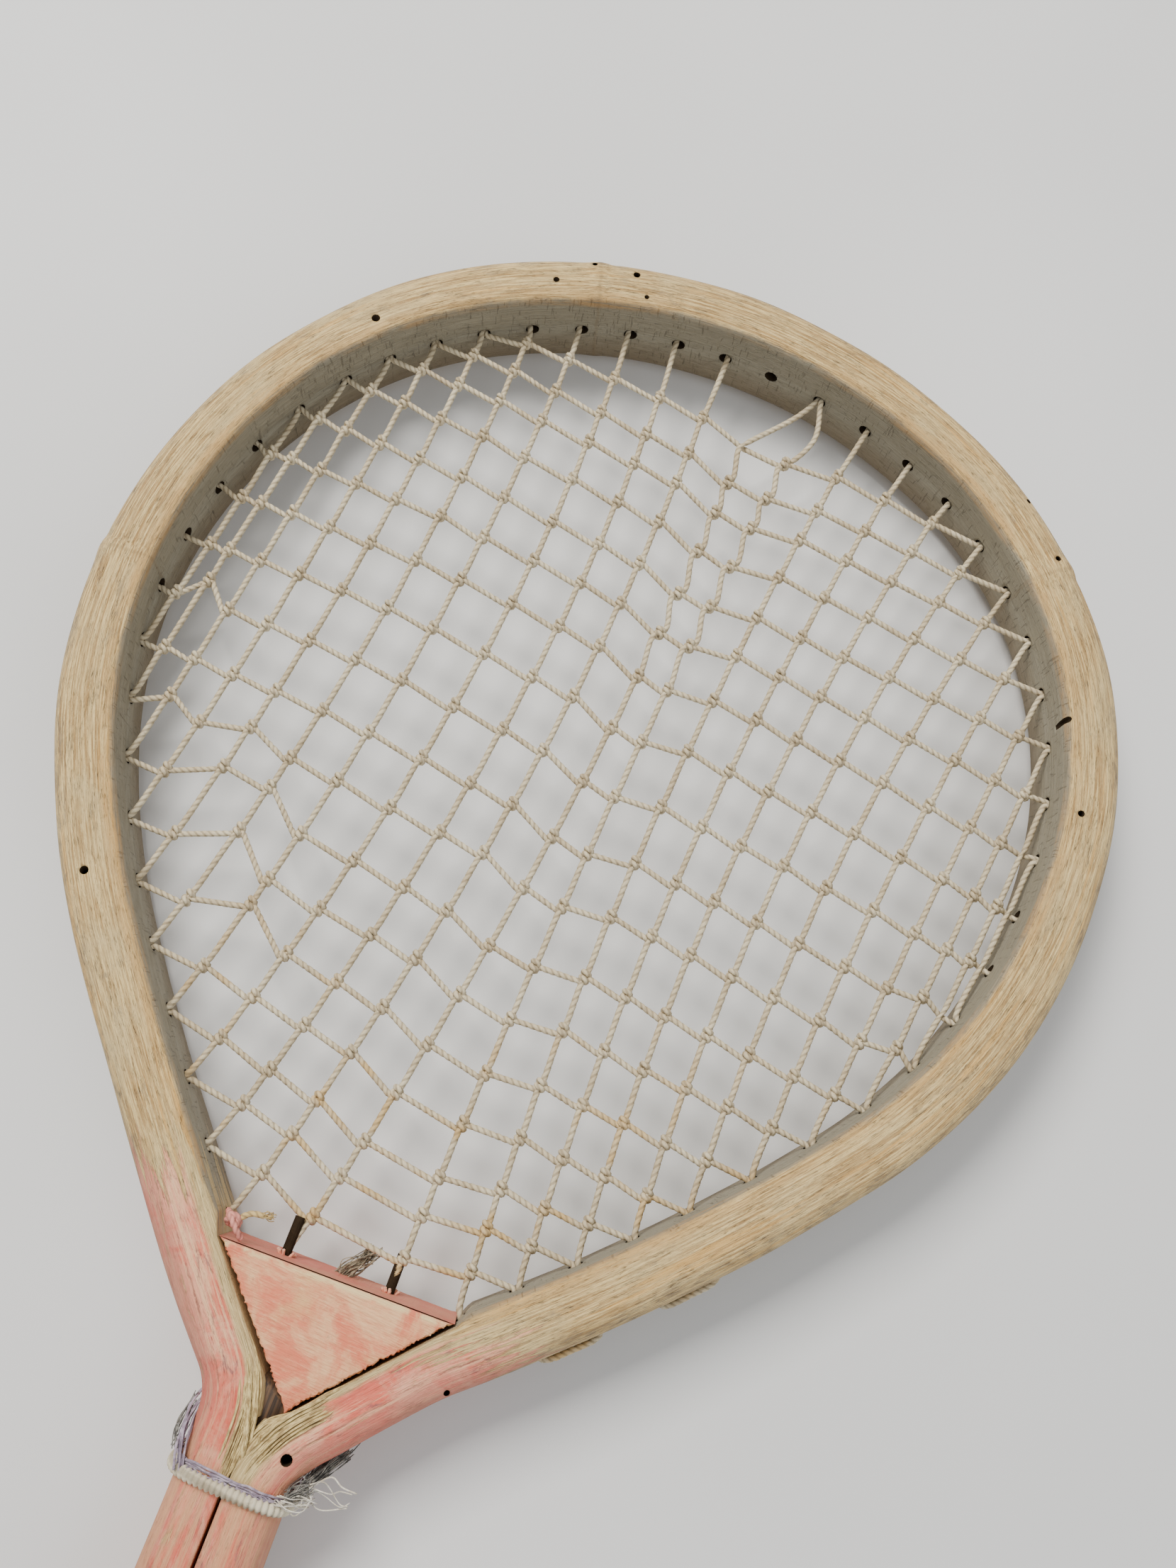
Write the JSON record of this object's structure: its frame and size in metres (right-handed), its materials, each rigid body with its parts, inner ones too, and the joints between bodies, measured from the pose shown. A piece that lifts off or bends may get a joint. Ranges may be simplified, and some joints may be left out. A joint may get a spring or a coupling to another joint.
{
  "type": "squash racket",
  "caption": "Old racket of one bent cane with a lopsided teardrop head, a hitched cord net, a painted throat wedge and a bound twin-leg handle.",
  "frame": {"origin": "middle of the butt's end face, in the plane of the net", "axes": "+Y up the handle to the head, +Z out of the front face, +X to the right seen from the front"},
  "size_m": [0.218, 0.6905, 0.028],
  "materials": {
    "cane": "weathered rattan, cream to grey, worn pink paint at the throat",
    "wedge_wood": "soft wood with worn salmon paint, sawn edges",
    "net_cord": "two-ply twisted cord, dusty beige",
    "band_cord": "ribbed woven band, cream",
    "yarn": "matted wool yarn, mauve grey",
    "grip_leather": "worn brown leather strip",
    "tie_cord": "twisted cord, beige",
    "cap_wood": "turned hardwood, oiled",
    "nail_brass": "dull brass",
    "dowel_wood": "plain hardwood"
  },
  "bodies": {
    "root": {"butt_cap": "cap_wood", "butt_nails": "nail_brass", "cane_frame": "cane", "cross_string_01": "net_cord", "cross_string_02": "net_cord", "cross_string_03": "net_cord", "cross_string_04": "net_cord", "cross_string_05": "net_cord", "cross_string_06": "net_cord", "cross_string_07": "net_cord", "cross_string_08": "net_cord", "cross_string_09": "net_cord", "cross_string_10": "net_cord", "cross_string_11": "net_cord", "cross_string_12": "net_cord", "cross_string_13": "net_cord", "cross_string_14": "net_cord", "cross_string_15": "net_cord", "cross_string_16": "net_cord", "cross_string_17": "net_cord", "cross_string_18": "net_cord", "grip_butt_tie": "tie_cord", "grip_top_tie": "tie_cord", "grip_wrap": "grip_leather", "leg_dowels": "dowel_wood", "main_string_01": "net_cord", "main_string_02": "net_cord", "main_string_03": "net_cord", "main_string_04": "net_cord", "main_string_05": "net_cord", "main_string_06": "net_cord", "main_string_07": "net_cord", "main_string_08": "net_cord", "main_string_09": "net_cord", "main_string_10": "net_cord", "main_string_11": "net_cord", "main_string_12": "net_cord", "main_string_13": "net_cord", "main_string_14": "net_cord", "main_string_15": "net_cord", "main_string_16": "net_cord", "main_string_17": "net_cord", "main_string_18": "net_cord", "main_string_19": "net_cord", "main_string_20": "net_cord", "main_string_21": "net_cord", "main_string_22": "net_cord", "neck_band": "band_cord", "neck_yarn": "yarn", "outer_loops": "net_cord", "throat_wedge": "wedge_wood"}
  },
  "joints": []
}
